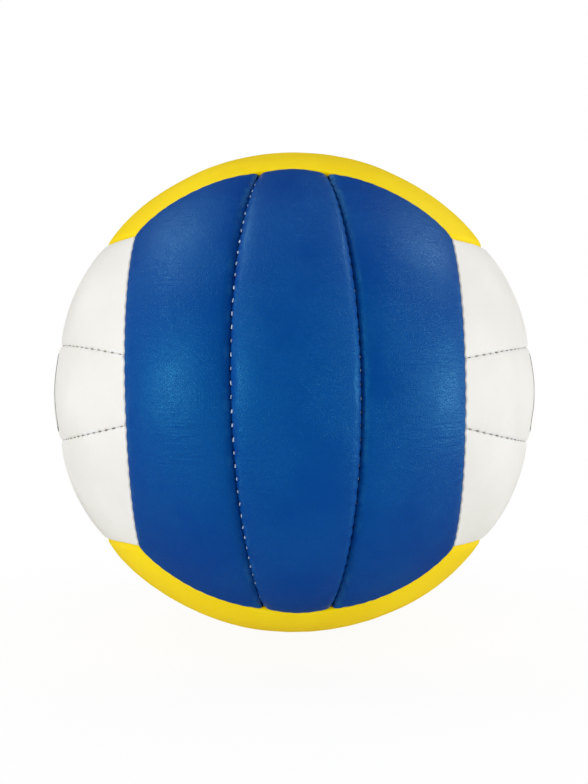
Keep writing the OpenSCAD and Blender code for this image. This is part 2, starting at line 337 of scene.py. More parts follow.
# %% The height over the ball
def strip_height(p, face, middle, distances, seed):
    """Height of the leather over the ball's radius, in millimetres, and the distance to its edge:
    the shoulder and the breast behind it, less the roll, plus the puff beside the seams and the
    pillow over the strip, less the dents, plus pleats and slow waves."""
    colour = LEATHER[face]
    first, second, end, run, cross = distances
    side = np.minimum(first, second)
    outer = (second < first) & (not middle)
    near_out = 0.0 if middle else fades(second, SHOULDER_IN)
    near_end = fades(end, SHOULDER_IN)
    side_dent = np.where(outer, DENTS[colour][1], DENTS[colour][0]) * stitch_pull(run)
    end_dent = DENTS[colour][2] * stitch_pull(cross)
    corners = CORNERS[colour]
    radius = np.where(outer, corners[2], corners[0] if middle else corners[1])
    edge = rounded_edge(side - side_dent * fades(side, DENT_IN), end - end_dent * fades(end, DENT_IN),
                        radius, np.where(outer, 0.5, 0.0))
    at_end = np.clip(0.5 + (side - end) / END_TURN, 0, 1)
    width, depth = [np.where(outer, out, inside) * (1 - at_end) + last * at_end
                    for inside, out, last in list(zip(*ROLL[colour]))[:2]]
    width = width * (1 + ROLL_VARY * waves(run, seed + 1, (9, 30)))
    height = (shoulder(colour, middle, near_out, near_end) + BREAST * (1 - fades(edge, BREAST_IN))
              - rolled(edge, width, depth))
    across = np.clip(4 * first * second / np.maximum(first + second, 0.001) ** 2, 0, 1)
    hollow = 1.0 if middle else 1 - FILLED * near_end * (1 - near_out)
    height += PUFF[colour] * (1 - hollow * fades(side, SHOULDER_IN))
    height += PILLOW * across ** 0.85 * (1 - fades(end, PILLOW_IN))
    height -= DENT_SINK * (side_dent * fades(side, SINK_IN) + end_dent * fades(end, SINK_IN))
    height += pleats(run, side, seed + 2, tall=0.085, reach=3.2)
    height += pleats(cross, end, seed + 3, tall=0.05, reach=2.6)
    height += swell(p, edge, seed + 4, tall=0.16, lengths=(26, 60), full_at=8)
    height += swell(p, edge, seed + 5, tall=0.035, lengths=(7, 15), full_at=5, count=10)
    return height, edge


heights, _ = strip_height(middle_grid, "front", True, edge_distances(middle_grid, True), 11)
print("a blue middle strip reaches from %.1f to %.1f mm" % (heights.min(), heights.max()))

# %% The scalloped rims
def across_rim(cosine, wave, place, inwards):
    """A point's angle from a face's middle, pushed by wave / 2 * cos(2 pi place / STITCH), which
    fades inwards. Gives the new cosine, and the ratio of the new sine to the old one."""
    angle = np.arccos(np.clip(cosine, -1, 1))
    wide = angle + wave / 2 * np.cos(2 * math.pi * place / STITCH) * fades(inwards, WAVE_IN) / BALL_R
    return np.cos(wide), np.sin(wide) / np.maximum(np.sin(angle), 1e-6)


def scalloped(p, face, middle, distances):
    """Points beside a rim moved across it. Where a stitch pulls, the face with its outer side
    there comes forward by half the wave and the one with its ends there gives way by as much, so
    both still meet."""
    _, second, end, run, cross = distances
    outer_wave, end_wave = WAVE[LEATHER[face]]
    cosine, share = across_rim(-p[..., 1], end_wave, cross, end)
    p = np.stack([p[..., 0] * share, -cosine, p[..., 2] * share], -1)
    if middle:
        return p
    cosine, share = across_rim(p[..., 0], outer_wave, run, second)
    return np.stack([cosine, p[..., 1] * share, p[..., 2] * share], -1)


print("wave between blue and white: %.2f mm" % WAVE["blue"][0])

# %% [markdown]
# ## From the grid to a mesh
#
# The grid's own quads make the top of the strip. Three more rows follow its outline down into the
# slit as a turned-in rim. The Solidify modifier gives the open leather its thickness of 0.9
# millimetres, inwards, so that it stays clear of the foam under it. The top middle strip also has
# the round hole for the valve: the grid is cut there, and its points are pushed out to the circle.

# %% Mesh helpers
def add_object(name, data):
    """A new object in the scene, at the origin."""
    thing = bpy.data.objects.new(name, data)
    bpy.context.scene.collection.objects.link(thing)
    return thing


def make_mesh(name, points_mm, faces):
    """A smooth mesh object from points in millimetres and a list of faces."""
    mesh = bpy.data.meshes.new(name)
    mesh.from_pydata((points_mm * MM).tolist(), [], faces)
    mesh.update()
    mesh.shade_smooth()
    return add_object(name, mesh)


def add_vectors(thing, name, *values):
    """Stores three numbers per point under a name, for the materials to read."""
    layer = thing.data.attributes.new(name, "FLOAT_VECTOR", "POINT")
    layer.data.foreach_set("vector", np.stack(values, -1).astype(np.float32).ravel())


def grid_faces(rows, columns):
    """Quads between neighbouring points of a grid, as an array of four indices each."""
    i, j = np.meshgrid(np.arange(rows - 1), np.arange(columns - 1), indexing="ij")
    a = (i * columns + j).ravel()
    return np.stack([a, a + columns, a + columns + 1, a + 1], axis=-1)


def outline(rows, columns):
    """Indices of the grid's points once round its outline."""
    k = np.arange(rows * columns).reshape(rows, columns)
    return np.concatenate([k[:-1, 0], k[-1, :-1], k[:0:-1, -1], k[0, :0:-1]])


print("points round a strip: %d" % len(outline(len(ALONG), len(ACROSS))))

# %% The hole for the valve
HOLE_REACH = 12.0                         # the grid is stretched up to this far from the valve
HOLE_CUT, PAD_HOLE_CUT = 3.4, 4.2         # quads nearer than this are cut, in leather and foam


def cut_hole(p, faces, hole, cut):
    """Takes out the quads whose middle is closer than the cut, then moves every point within
    HOLE_REACH outwards, so that the cut becomes a circle of the hole's radius."""
    flat = p.reshape(-1, 3).copy()
    r = BALL_R * np.hypot(flat[:, 0], flat[:, 2])
    front = flat[:, 1] < 0
    gone = (r[faces].mean(axis=1) < cut) & front[faces].all(axis=1)
    kept = faces[~gone]
    brim = np.intersect1d(faces[gone].ravel(), kept.ravel())
    stretched = hole + (r - cut) * (HOLE_REACH - hole) / (HOLE_REACH - cut)
    new_r = np.where(r < HOLE_REACH, np.maximum(stretched, hole), r)
    new_r[brim] = hole
    moved = front & (r < HOLE_REACH)
    scale = np.where(moved, new_r / np.maximum(r, 1e-6), 1)
    flat[:, 0] *= scale
    flat[:, 2] *= scale
    depth = -np.sqrt(np.clip(1 - flat[:, 0] ** 2 - flat[:, 2] ** 2, 0, 1))
    flat[:, 1] = np.where(moved, depth, flat[:, 1])
    return flat.reshape(p.shape), kept


print("hole: %.1f mm across in the leather, %.1f mm in the foam" % (2 * HOLE_R, 2 * PAD_HOLE_R))

# %% The turned-in rim
RIM_ROWS = (-2.5, -3.2, -3.9)             # height of the rim's rows over the ball, at the most
RIM_STEP = 0.3                            # each row is at least this much lower than the one above


def turned_in(ways, height, loop):
    """The points of a strip's top and of three rows under its outline, and the quads between the
    rows. ways are the unit vectors of the top, and loop its outline."""
    top = ways * (BALL_R + height)[:, None]
    rim = [ways[loop] * (BALL_R + np.minimum(height[loop] - RIM_STEP * (k + 1), low))[:, None]
           for k, low in enumerate(RIM_ROWS)]
    rings = [loop] + [len(top) + k * len(loop) + np.arange(len(loop)) for k in range(len(RIM_ROWS))]
    walls = [np.stack([a, np.roll(a, -1), np.roll(b, -1), b], axis=-1)
             for a, b in zip(rings[:-1], rings[1:])]
    return np.concatenate([top] + rim), walls


print("rim: %d rows" % len(RIM_ROWS))

# %% A soft piece in its place
def place_piece(name, face, side, points, faces, thickness):
    """Makes a piece from points of the front face: mirrored where side is -1, turned onto its
    face, skewed, with its faces outward and a wall added inwards. Also says which points it
    kept, because those that no face uses are left out."""
    if side < 0:
        points[:, 0] *= -1
    points = skew(turn(points, face))
    corner = points[faces[0]]
    if np.dot(np.cross(corner[1] - corner[0], corner[2] - corner[0]), corner[0]) < 0:
        faces = faces[:, ::-1]
    kept = np.unique(faces)
    index = np.full(len(points), -1)
    index[kept] = np.arange(len(kept))
    thing = make_mesh(name, points[kept], index[faces].tolist())
    wall = thing.modifiers.new("thickness", "SOLIDIFY")
    wall.thickness = thickness
    wall.offset = -1
    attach(thing, "root")
    return thing, kept


print("pieces to place:", 2 * len(PIECES))

# %% Build the strips
LEATHER_THICK = 0.0009                    # in metres
NOISE_STEP = 7.0                          # how far the noise moves on from one strip's seed to the next
VALVE_DIP, VALVE_DIP_IN = 0.55, 3.5       # depth and reach of the dip round the valve


def build_strip(face, part, side, seed):
    """The leather of one strip. side is -1, 0 or 1 on the front face, and -1 is the mirror
    image of 1."""
    middle = side == 0
    p = strip_points(middle, ALONG, ACROSS)
    rows, columns = p.shape[:2]
    faces = grid_faces(rows, columns)
    if (face, part) == VALVE_STRIP:
        p, faces = cut_hole(p, faces, HOLE_R, HOLE_CUT)
    distances = edge_distances(p, middle)
    height, edge = strip_height(p, face, middle, distances, seed)
    if (face, part) == VALVE_STRIP:
        from_valve = BALL_R * np.hypot(p[..., 0], p[..., 2])
        height -= VALVE_DIP * np.exp(-(np.maximum(from_valve - HOLE_R, 0) / VALVE_DIP_IN) ** 2)
    p = scalloped(p, face, middle, distances)
    loop = outline(rows, columns)
    points, walls = turned_in(p.reshape(-1, 3), height.ravel(), loop)
    thing, kept = place_piece("%s_%s_leather" % (face, part), face, side, points,
                              np.concatenate([faces] + walls), LEATHER_THICK)

    def per_point(values):
        """The grid's values, then the outline's once more for each row of the rim."""
        return np.concatenate([values.ravel()] + [values.ravel()[loop]] * len(RIM_ROWS))[kept]

    first, second, end, run, cross = distances
    number = np.full(len(kept), seed * NOISE_STEP)
    edge = per_point(edge)
    edge[kept >= rows * columns] = -1.0
    add_vectors(thing, "side_seam", per_point(run), per_point(np.minimum(first, second)), number)
    add_vectors(thing, "end_seam", per_point(cross), per_point(end), number)
    add_vectors(thing, "strip_place", edge, per_point(run), per_point(first - second))
    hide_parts("%s_%s_cover" % (face, part))
    return thing


leathers = {piece[:2]: build_strip(*piece) for piece in PIECES}
print("strips built:", len(leathers), "faces:", sum(len(o.data.polygons) for o in leathers.values()))

# %% [markdown]
# ## The foam pads
#
# A pad of foam fills each strip. It is the same surface a little more than the leather's thickness
# further down, drawn in by more than the turned-in rim, on a coarser grid, because nobody sees it.
# It follows the same skew, so no foam looks out of a seam.

# %% Build the pads
PAD_ALONG = spaced(STRIP_LONG, 3.2) * 2 - 1
PAD_ACROSS = spaced(STRIP_WIDE, 3.2)
PAD_THICK = 0.0017                        # in metres
PAD_SINK, PAD_INSET = 1.05, 1.2           # how far a pad lies under the leather, and inside its edge


def build_pad(face, part, side, seed):
    """The foam under one strip: the leather's height less PAD_SINK, closed by its thickness."""
    middle = side == 0
    p = strip_points(middle, PAD_ALONG, PAD_ACROSS, PAD_INSET)
    faces = grid_faces(*p.shape[:2])
    if (face, part) == VALVE_STRIP:
        p, faces = cut_hole(p, faces, PAD_HOLE_R, PAD_HOLE_CUT)
    height, _ = strip_height(p, face, middle, edge_distances(p, middle), seed)
    points = (p * (BALL_R - PAD_SINK + height)[..., None]).reshape(-1, 3)
    thing, _ = place_piece("%s_%s_pad" % (face, part), face, side, points, faces, PAD_THICK)
    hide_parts("%s_%s_foam" % (face, part))
    return thing


pads = [build_pad(*piece) for piece in PIECES]
print("pads built:", len(pads), "faces:", sum(len(o.data.polygons) for o in pads))

# %% [markdown]
# ## Stitches
#
# The thread dives from one strip into the next every five millimetres, and only a short bead of it
# shows in the valley. A bead is a small closed capsule of a few dozen faces, and one array holds
# them all. On the blue faces the thread is pale and sits to one side of the seam. On the white and
# yellow faces and on the rims it is dark, a painted shade for the shadow in the stitch holes. On the
# white faces it shows as dark ticks, and on the yellow ones it is nearly hidden.

# %% One bead of thread
def bead():
    """A capsule along x from -1 to 1 with the section radius sqrt(1 - x^4), as points, and its
    faces: six-sided rings closed by a point at either end."""
    stations, sides = np.array([-0.86, -0.5, 0.0, 0.5, 0.86]), 6
    x = np.repeat(stations, sides)
    r = np.sqrt(1 - x ** 4)
    a = np.tile(np.arange(sides) * 2 * math.pi / sides, len(stations))
    points = np.concatenate([np.stack([x, r * np.cos(a), r * np.sin(a)], -1), [[-1, 0, 0], [1, 0, 0]]])
    ring = [(j, (j + 1) % sides) for j in range(sides)]
    start, tip = len(x) - sides, len(x)
    faces = [[k + i, k + j, k + sides + j, k + sides + i] for k in range(0, start, sides) for i, j in ring]
    faces += [[tip, j, i] for i, j in ring] + [[tip + 1, start + i, start + j] for i, j in ring]
    return points, faces


BEAD_POINTS, BEAD_FACES = bead()
print("faces of a bead:", len(BEAD_FACES))

# %% The curves that the stitches follow
def seam_curve(place, way):
    """A seam of the front face: the great circle at longitude way times SEAM."""
    lam, phi = place / BALL_R, way * SEAM
    return np.stack([np.cos(lam) * math.sin(phi), -np.cos(lam) * math.cos(phi), np.sin(lam)], -1)


def rim_curve(place, way):
    """A rim of the front face: the circle round -Y at the angle RIM, above or below."""
    a = place / (BALL_R * math.sin(RIM))
    return np.stack([math.sin(RIM) * np.sin(a), np.full_like(a, -math.cos(RIM)),
                     way * math.sin(RIM) * np.cos(a)], -1)


print("a seam ends at z = %.1f mm" % (BALL_R * seam_curve(np.array([SEAM_REACH]), 1)[0, 2]))

# %% Beads along a curve
# How much the stitches vary: their place, turn, size (a share), depth and place sideways.
VARY_PLACE, VARY_TURN, VARY_SIZE, VARY_DEPTH, VARY_SIDE = 0.12, 0.10, 0.12, 0.09, 0.06
FALL_FROM, FALL_OVER = 8, 80              # the fall is 0 at this place, and whole this far from it


def stitch_places(reach):
    """The middles of a curve's stitches, with at least a millimetre left at either end."""
    count = int((reach - 1.0) // STITCH)
    return (np.arange(-count, count) + 0.5) * STITCH


def beads_along(curve, way, face, reach, seed, size, sink, shift, slant, fall=0.45):
    """Beads centred at every stitch of a curve. Each is laid along the curve's tangent, turned by
    the slant, sunk below the ball's surface and moved sideways by the shift. Towards the curve's
    ends they sink by the fall as well."""
    rng = np.random.default_rng(seed)
    place = stitch_places(reach)
    place = place + rng.normal(0, VARY_PLACE, len(place))
    p = turn(curve(place, way), face)
    tangent = turn(curve(place + 0.05, way) - curve(place - 0.05, way), face)
    tangent /= np.linalg.norm(tangent, axis=-1, keepdims=True)
    sideways = np.cross(tangent, p)
    lean = slant + rng.normal(0, VARY_TURN, len(place))
    along = np.cos(lean)[:, None] * tangent + np.sin(lean)[:, None] * sideways
    axes = np.stack([along, np.cross(along, p), p], axis=1)
    size = np.array(size)[None, :] * (1 + rng.normal(0, VARY_SIZE, (len(place), 3)))
    depth = sink + fall * ((place - FALL_FROM) / FALL_OVER) ** 2 + rng.normal(0, VARY_DEPTH, len(place))
    aside = shift + rng.normal(0, VARY_SIDE, len(place))
    centre = p * (BALL_R - depth)[:, None] + sideways * aside[:, None]
    return skew(centre[:, None, :] + BEAD_POINTS @ (size[:, :, None] * axes))


print("stitches of a blue seam:", len(stitch_places(SEAM_REACH)))

# %% Sew the ball
def sew(name, runs):
    """One object from several runs of beads."""
    points = np.concatenate([run.reshape(-1, 3) for run in runs])
    each = len(BEAD_POINTS)
    count = len(points) // each
    faces = [[k + each * n for k in face] for n in range(count) for face in BEAD_FACES]
    thing = make_mesh(name, points, faces)
    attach(thing, "root")
    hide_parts("thread")
    print(name, "stitches:", count)
    return thing


# Half the length, width and height of a bead in millimetres, and how it lies. The slant is in radians.
PALE_LEFT = {"size": (0.72, 0.27, 0.34), "sink": 1.80, "shift": 0.36, "slant": 0.10}
PALE_RIGHT = {"size": (0.60, 0.20, 0.28), "sink": 3.25, "shift": -0.10, "slant": 0.06}
DARK_SEAM = {"size": (0.95, 0.14, 0.26), "sink": 1.74, "shift": 0.0, "slant": 0.06, "fall": -0.30}
RIM_SHOWN = {"size": (0.62, 0.20, 0.32), "sink": 1.55, "shift": -0.3, "slant": 0.10}
RIM_SUNK = {"size": (0.62, 0.20, 0.32), "sink": 2.4, "shift": 0.0, "slant": 0.10}

pale_runs = [beads_along(seam_curve, way, face, SEAM_REACH, seed + f, **lie)
             for f, face in enumerate(("front", "back"))
             for way, seed, lie in ((-1, 40, PALE_LEFT), (1, 50, PALE_RIGHT))]
# Dark beads, painted shade for the stitch holes, along the white and yellow seams and all the rims.
dark_runs = [beads_along(seam_curve, way, face, SEAM_REACH + 3, 60 + 2 * f + way, **DARK_SEAM)
             for f, face in enumerate(("left", "right", "top", "bottom")) for way in (-1, 1)]
dark_runs += [beads_along(rim_curve, way, face, RIM_REACH, 80 + 2 * f + way,
                          **(RIM_SHOWN if (face, way) == ("right", -1) else RIM_SUNK))
              for f, face in enumerate(STRIPS) for way in (-1, 1)]
pale_thread = sew("pale_stitches", pale_runs)
dark_thread = sew("dark_stitches", dark_runs)

# %% [markdown]
# ## Node helpers
#
# A material is a small network of nodes. These helpers place a node, set its plain inputs and
# link the others, so that each finish below reads as a list of what feeds what.

# %% Placing nodes
def fill(tree, node, **inputs):
    """Gives a node's inputs, by name with _ for a space, or by number as i0, i1 and so on: another
    node's output is linked, and a plain value is set on the socket."""
    for key, value in inputs.items():
        socket = node.inputs[int(key[1:]) if key[1:].isdigit() else key.replace("_", " ")]
        if isinstance(value, bpy.types.NodeSocket):
            tree.links.new(value, socket)
        else:
            socket.default_value = value
    return node


def place_node(tree, kind, settings=None, **inputs):
    """Adds a node, with its own options in settings, and fills its inputs."""
    node = tree.nodes.new(kind)
    for key, value in (settings or {}).items():
        setattr(node, key, value)
    return fill(tree, node, **inputs)


def calc(tree, operation, a, b=0.0, c=0.0):
    """A Math node's result."""
    return place_node(tree, "ShaderNodeMath", {"operation": operation}, i0=a, i1=b, i2=c).outputs[0]


def between(tree, value, low, high, to_low=0.0, to_high=1.0):
    """A value carried smoothly from one range to another, and held at its ends."""
    node = place_node(tree, "ShaderNodeMapRange", {"interpolation_type": "SMOOTHSTEP"}, Value=value,
                      From_Min=low, From_Max=high, To_Min=to_low, To_Max=to_high)
    return node.outputs["Result"]


def blend(tree, share, first, second):
    """Two colours mixed by a share from 0 to 1."""
    return place_node(tree, "ShaderNodeMix", {"data_type": "RGBA"}, i0=share, i6=first, i7=second).outputs[2]


print("node helpers ready")

# %% Places, noise and bumps
def object_place(tree):
    """A point's place in metres, in the axes of its own piece."""
    return tree.nodes.new("ShaderNodeTexCoord").outputs["Object"]


def stored_parts(tree, name):
    """The three numbers that a strip stores under a name, as the sockets X, Y and Z."""
    stored = place_node(tree, "ShaderNodeAttribute", {"attribute_name": name}).outputs["Vector"]
    return place_node(tree, "ShaderNodeSeparateXYZ", None, Vector=stored).outputs


def combine(tree, x, y, z=0.0):
    """A vector from three values."""
    return place_node(tree, "ShaderNodeCombineXYZ", None, X=x, Y=y, Z=z).outputs[0]


def length(tree, vector):
    """A vector's length."""
    return place_node(tree, "ShaderNodeVectorMath", {"operation": "LENGTH"}, i0=vector).outputs["Value"]


def noise(tree, place, scale, detail, roughness=0.5):
    """A smooth random value from 0 to 1."""
    return place_node(tree, "ShaderNodeTexNoise", None, Vector=place, Scale=scale, Detail=detail,
                      Roughness=roughness).outputs["Fac"]


def bump(tree, shader, height, distance, strength):
    """Lets a height tilt the shader's normal. The distance is what a height of 1 stands for."""
    node = place_node(tree, "ShaderNodeBump", None, Strength=strength, Distance=distance, Height=height)
    tree.links.new(node.outputs[0], shader.inputs["Normal"])


def srgb(red, green, blue):
    """A colour read as 0 to 255 values, in the linear numbers that Blender's sockets take:
    ((c + 0.055) / 1.055)^2.4, and c / 12.92 near black."""
    c = np.array([red, green, blue]) / 255
    linear = np.where(c <= 0.04045, c / 12.92, ((c + 0.055) / 1.055) ** 2.4)
    return (*[float(v) for v in linear], 1.0)


WHITE = srgb(255, 255, 255)
print("white:", WHITE)

# %% Groups and materials
def new_group(name, inputs, outputs):
    """A node group with named number sockets. Returns the group and its two ends."""
    group = bpy.data.node_groups.new(name, "ShaderNodeTree")
    for label, value in inputs.items():
        socket = group.interface.new_socket(label, in_out="INPUT", socket_type="NodeSocketFloat")
        socket.default_value = value
    for label in outputs:
        group.interface.new_socket(label, in_out="OUTPUT", socket_type="NodeSocketFloat")
    return group, group.nodes.new("NodeGroupInput").outputs, group.nodes.new("NodeGroupOutput")


def use_group(tree, group, **inputs):
    """The group placed in a material's tree."""
    return place_node(tree, "ShaderNodeGroup", {"node_tree": group}, **inputs).outputs


def new_material(name):
    """An empty material with one Principled shader in it, and its tree."""
    material = bpy.data.materials.new(name)
    material.use_nodes = True
    tree = material.node_tree
    tree.nodes.clear()
    shader = tree.nodes.new("ShaderNodeBsdfPrincipled")
    fill(tree, tree.nodes.new("ShaderNodeOutputMaterial"), Surface=shader.outputs[0])
    return material, tree, shader


def find_shader(material):
    """A material's tree, and the Principled shader in it."""
    tree = material.node_tree
    return tree, next(node for node in tree.nodes if node.type == "BSDF_PRINCIPLED")


print("group and material helpers ready")

# %% [markdown]
# ## The grain of the leather
#
# Coated leather is embossed with small rounded cells, about two thirds of a millimetre across,
# with fine creases between them. Voronoi cells give both. A slow noise changes how deep the
# emboss is and how the coat takes the light, because no hide is even.

# %% Grain group
WARP = 0.0005                             # how far noise moves the cells' outlines, in metres


def make_grain():
    """Height is a cell's dome, 1 less its crease, times an uneven share, plus a quarter of a fine
    noise. Crease is 1 on the lines between cells, and Mottle is the slow noise."""
    group, given, result = new_group("leather grain", {"Cell Size mm": 0.7, "Evenness": 0.6},
                                     ("Height", "Crease", "Mottle"))
    place = object_place(group)
    density = calc(group, "DIVIDE", 1 / MM, given["Cell Size mm"])
    warp = place_node(group, "ShaderNodeTexNoise", None, Vector=place, Scale=420.0, Detail=2.0)
    pushed = place_node(group, "ShaderNodeVectorMath", {"operation": "MULTIPLY_ADD"},
                        i0=warp.outputs["Color"], i1=(WARP, WARP, WARP), i2=place).outputs[0]
    cells = place_node(group, "ShaderNodeTexVoronoi", {"feature": "DISTANCE_TO_EDGE"}, Vector=pushed,
                       Scale=density)
    crease = between(group, cells.outputs["Distance"], 0.02, 0.22, 1.0, 0.0)
    slow = noise(group, place, 38.0, 3.0)
    fine = noise(group, place, 2600.0, 2.0)
    uneven = between(group, slow, 0.3, 0.7, given["Evenness"], 1.0)
    dome = calc(group, "MULTIPLY", calc(group, "SUBTRACT", 1.0, crease), uneven)
    fill(group, result, Height=calc(group, "MULTIPLY_ADD", fine, 0.25, dome), Crease=crease, Mottle=slow)
    return group


grain_group = make_grain()
print("group:", grain_group.name)

# %% [markdown]
# ## What sewing does to the leather
#
# The strips carry their distance from the seams as attributes in millimetres, so a pattern can
# follow a seam round the ball. Noise that is stretched away from the seam gives the fine pleats,
# and the same at the scale of a whole strip gives long creases in places. Right in the slit,
# painted shade and dirt darken the colour. On the crest of the roll the colour is painted a little
# paler, for rub wear and for a highlight where the roll catches the light from the side.

# %% Sewing group
PLEAT_STRETCH, CREASE_STRETCH = 0.12, 0.045    # how slowly the noise runs across the leather


def make_sewing():
    """Pleats is the sum over both kinds of edge of (noise - 0.5) times a fade over the pleat
    length. Creases is a long noise less 0.5, in places. Slit, the mask of painted shade and dirt,
    falls from 1 at the edge. Rub, the mask of rub wear and a painted highlight, is 1 at 0.45
    of the rub width, in places."""
    group, given, result = new_group(
        "sewing strain", {"Pleat Length mm": 5.0, "Slit Width mm": 0.55, "Rub Width mm": 3.0},
        ("Pleats", "Creases", "Slit", "Rub"))
    pleat_parts = []
    for name in ("side_seam", "end_seam"):
        seam = stored_parts(group, name)
        stretched = combine(group, seam["X"], calc(group, "MULTIPLY", seam["Y"], PLEAT_STRETCH), seam["Z"])
        folds = calc(group, "SUBTRACT", noise(group, stretched, 0.85, 3.0, 0.6), 0.5)
        fade = between(group, seam["Y"], 0.2, given["Pleat Length mm"], 1.0, 0.0)
        pleat_parts.append(calc(group, "MULTIPLY", folds, fade))
    pleats_sum = calc(group, "ADD", pleat_parts[0], pleat_parts[1])
    strip = stored_parts(group, "strip_place")
    edge = strip["X"]
    drawn = combine(group, strip["Y"], calc(group, "MULTIPLY", strip["Z"], CREASE_STRETCH))
    lines = calc(group, "SUBTRACT", noise(group, drawn, 0.62, 4.0, 0.65), 0.5)
    where = between(group, noise(group, object_place(group), 30.0, 1.0), 0.42, 0.66)
    crest = calc(group, "MULTIPLY", given["Rub Width mm"], 0.45)
    # The crest of the roll, painted paler for rub wear and for a highlight where the roll catches the light.
    rub_and_highlight = calc(group, "MULTIPLY", between(group, edge, 0.0, crest),
               between(group, edge, crest, given["Rub Width mm"], 1.0, 0.0))
    patchy = between(group, noise(group, object_place(group), 90.0, 4.0, 0.7), 0.42, 0.68)
    fill(group, result, Pleats=pleats_sum, Creases=calc(group, "MULTIPLY", lines, where),
         Slit=between(group, edge, 0.0, given["Slit Width mm"], 1.0, 0.0),
         Rub=calc(group, "MULTIPLY", rub_and_highlight, patchy))
    return group


sewing_group = make_sewing()
print("group:", sewing_group.name)

# %% [markdown]
# ## The three leathers
#
# One recipe serves blue, white and yellow, with different colours and amounts. The colour drifts
# slowly over a strip and is deeper in the creases of the grain. In the slit it is darkened with
# painted shade and dirt. On the crest of the roll it is painted paler, for rub wear and for a
# painted highlight. The coat is satin: rough enough that the lamps make broad soft patches of light.
# The pigment tints them, so on the blue they come out teal and on the yellow golden. The blue also
# has a thin clear coat, whose white glints show the grain in the middle of each patch of light.

# %% Leather recipe
def make_leather(name, colours, shares, depths_mm, rub_and_highlight_mm, roughness):
    """colours are the base, its drift, and then what covers it in the grain's creases, on the roll's
    crest (rub wear and a painted highlight) and in the slit (painted shade and dirt). shares say how
    much of these three shows, and depths_mm how deep the grain, the pleats and the long creases are."""
    base, drift, *covers = [srgb(*colour) for colour in colours]
    material, tree, shader = new_material(name)
    grain = use_group(tree, grain_group, Cell_Size_mm=0.66, Evenness=0.45)
    sewing = use_group(tree, sewing_group, Pleat_Length_mm=6.0, Slit_Width_mm=0.4, Rub_Width_mm=rub_and_highlight_mm)
    colour = blend(tree, between(tree, grain["Mottle"], 0.35, 0.68), base, drift)
    # The rub mask paints wear and a highlight on the crest, and the slit mask paints shade and dirt.
    for mask, share, cover in zip((grain["Crease"], sewing["Rub"], sewing["Slit"]), shares, covers):
        colour = blend(tree, calc(tree, "MULTIPLY", mask, share), colour, cover)
    rough = between(tree, grain["Mottle"], 0.3, 0.7, roughness - 0.04, roughness + 0.05)
    rough = calc(tree, "MULTIPLY_ADD", grain["Crease"], 0.10, rough)
    height = calc(tree, "MULTIPLY", sewing["Pleats"], depths_mm[1])
    height = calc(tree, "MULTIPLY_ADD", grain["Height"], depths_mm[0], height)
    height = calc(tree, "MULTIPLY_ADD", sewing["Creases"], depths_mm[2], height)
    fill(tree, shader, Base_Color=colour, Roughness=rough)
    bump(tree, shader, height, MM, 1.0)
    return material


# The fourth colour of each leather is rub wear and a painted highlight on the crest, and the fifth is
# painted shade and dirt in the slit.
blue_leather = make_leather(
    "blue leather", ((0, 59, 154), (0, 65, 161), (0, 45, 131), (30, 98, 166), (0, 24, 92)),
    shares=(0.42, 0.55, 0.88), depths_mm=(0.070, 0.26, 0.30), rub_and_highlight_mm=3.0, roughness=0.38)
white_leather = make_leather(
    "white leather",
    ((233, 232, 226), (237, 236, 231), (226, 224, 217), (238, 242, 250), (226, 226, 224)),
    shares=(0.30, 0.7, 0.20), depths_mm=(0.014, 0.06, 0.02), rub_and_highlight_mm=1.3, roughness=0.50)
yellow_leather = make_leather(
    "yellow leather", ((252, 220, 0), (254, 225, 0), (243, 207, 0), (254, 232, 50), (190, 148, 6)),
    shares=(0.30, 0.45, 0.45), depths_mm=(0.018, 0.07, 0.03), rub_and_highlight_mm=2.6, roughness=0.46)
print("leathers ready")

# %% The shine of the coats
tree, shader = find_shader(blue_leather)
fill(tree, shader, Specular_IOR_Level=1.3, Specular_Tint=(0.02, 0.68, 1.0, 1.0), Coat_Weight=0.08,
     Coat_Roughness=0.26, Coat_Normal=shader.inputs["Normal"].links[0].from_socket)
tree, shader = find_shader(yellow_leather)
fill(tree, shader, Specular_IOR_Level=0.35, Specular_Tint=(1.0, 0.9, 0.0, 1.0))
print("tint of the yellow shine:", [round(v, 2) for v in shader.inputs["Specular Tint"].default_value])

# %% [markdown]
# ## The frame on the white middle strips
#
# Each of the two middle white strips carries a plain rounded frame in dark ink. Its mask is the
# distance to a rounded rectangle, worked out from Object coordinates, and a band two millimetres
# wide round that outline. The ink is thin, so a little white shows through where it is worn.

# %% Printed frame
FRAME_LONG, FRAME_WIDE = 0.073, 0.0314         # the frame's outline in metres
FRAME_CORNER, FRAME_LINE = 0.006, 0.0020       # radius of its corners, and width of its line
INK_SOFT = 0.00012                             # half the width of the line's soft edge


def frame_mask(tree):
    """1 on the line of a rounded rectangle in Y and Z. The distance is the length of
    max(|p| - half + corner, 0), plus min(max of both, 0), less the corner radius."""
    place = object_place(tree)
    parts = place_node(tree, "ShaderNodeSeparateXYZ", None, Vector=place).outputs
    along, wide = [calc(tree, "SUBTRACT", calc(tree, "ABSOLUTE", parts[axis]), whole / 2 - FRAME_CORNER)
                   for axis, whole in (("Y", FRAME_LONG), ("Z", FRAME_WIDE))]
    outside = combine(tree, calc(tree, "MAXIMUM", along, 0.0), calc(tree, "MAXIMUM", wide, 0.0))
    inside = calc(tree, "MINIMUM", calc(tree, "MAXIMUM", along, wide), 0.0)
    distance = calc(tree, "SUBTRACT", calc(tree, "ADD", length(tree, outside), inside), FRAME_CORNER)
    band = between(tree, calc(tree, "ABSOLUTE", distance), FRAME_LINE / 2 - INK_SOFT,
                   FRAME_LINE / 2 + INK_SOFT, 1.0, 0.0)
    worn = between(tree, noise(tree, place, 700.0, 4.0, 0.7), 0.30, 0.46, 0.55, 1.0)
    return calc(tree, "MULTIPLY", band, worn)


